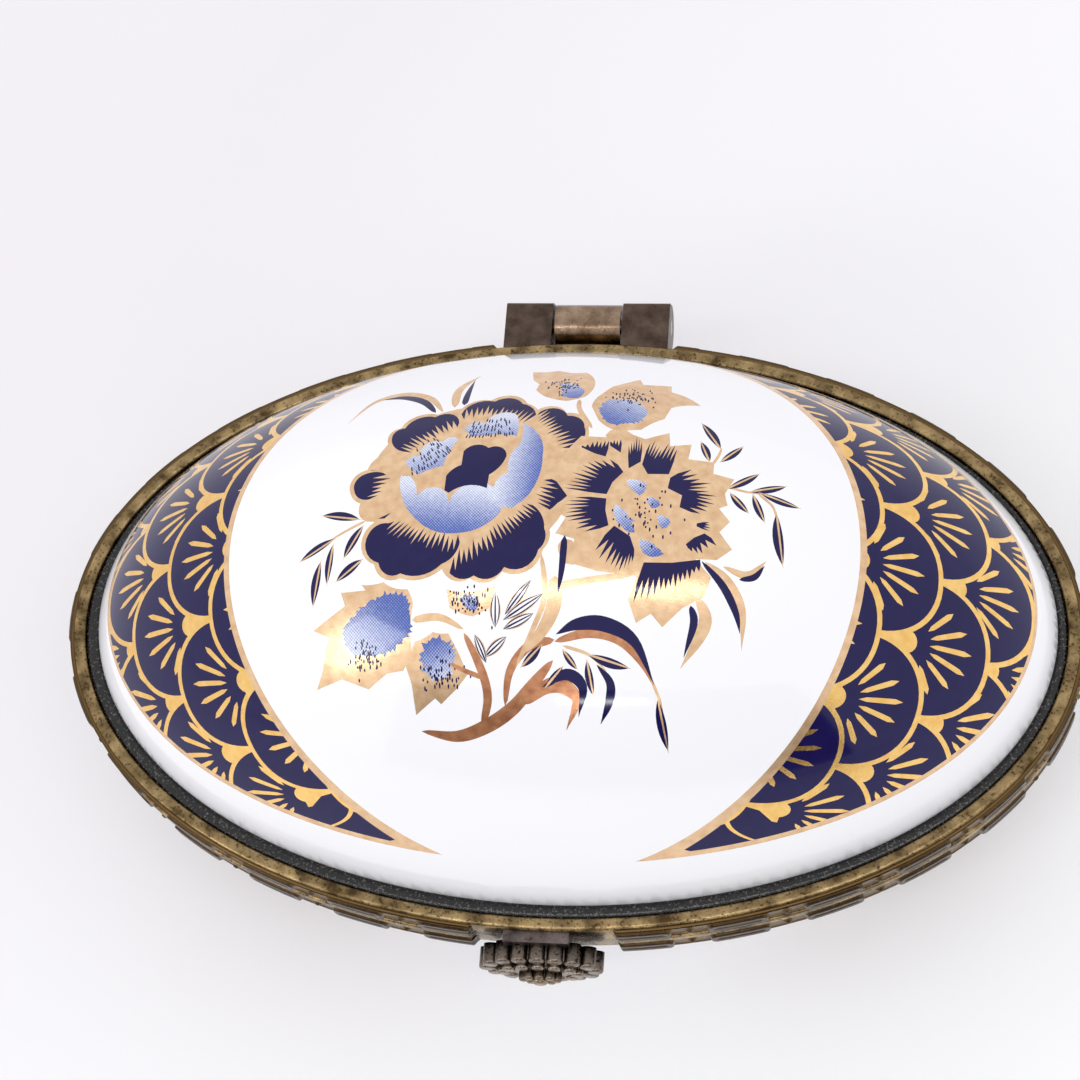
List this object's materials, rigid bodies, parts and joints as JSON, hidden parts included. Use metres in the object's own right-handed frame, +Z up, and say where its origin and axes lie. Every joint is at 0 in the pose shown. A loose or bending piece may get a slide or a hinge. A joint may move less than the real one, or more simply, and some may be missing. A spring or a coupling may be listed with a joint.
{
  "type": "porcelain trinket box",
  "caption": "Small oval porcelain trinket box with domed floral lid, cast bronze rims, back hinge and rosette clasp.",
  "frame": {"origin": "centre of the foot's flat underside", "axes": "+Z up, +X along the oval's length, +Y to the hinge at the back"},
  "size_m": [0.071, 0.0498, 0.0386],
  "materials": {
    "white_porcelain_base": "white glazed porcelain, cobalt and gold fish-scale decal",
    "gilt_rim_base": "antique gold plate, speckled",
    "bronze_strip_base": "dark patinated cast bronze",
    "black_cement_base": "black glossy setting cement",
    "keeper_brass": "worn brass",
    "barrel_bronze": "polished bronze",
    "white_porcelain_lid": "white glazed porcelain, cobalt, blue and gold decal",
    "gilt_rim_lid": "antique gold plate, speckled",
    "bronze_strip_lid": "dark patinated cast bronze",
    "black_cement_lid": "black glossy setting cement",
    "lug_bronze_left": "brushed antique bronze",
    "lug_bronze_right": "brushed antique bronze",
    "pin_steel": "drawn steel wire",
    "tab_bronze": "dark patinated bronze",
    "rosette_bronze": "antique bronze, rubbed on the high spots",
    "rivet_bronze": "antique bronze, rubbed on the high spots"
  },
  "bodies": {
    "base": {"base_porcelain": "white_porcelain_base", "base_frame": "gilt_rim_base", "base_gallery": "bronze_strip_base", "base_cement": "black_cement_base", "catch_keeper": "keeper_brass", "hinge_barrel": "barrel_bronze"},
    "lid": {"lid_porcelain": "white_porcelain_lid", "lid_frame": "gilt_rim_lid", "lid_gallery": "bronze_strip_lid", "lid_cement": "black_cement_lid", "hinge_lug_left": "lug_bronze_left", "hinge_lug_right": "lug_bronze_right", "hinge_pin": "pin_steel", "clasp_tab": "tab_bronze", "clasp_rosette": "rosette_bronze", "clasp_rivet": "rivet_bronze"}
  },
  "joints": [
    {"name": "lid_hinge", "type": "hinge", "parent": "base", "child": "lid", "pos_m": [0, 0.02385, 0.017], "axis": [-1, 0, 0], "range_deg": [0, 100]}
  ]
}
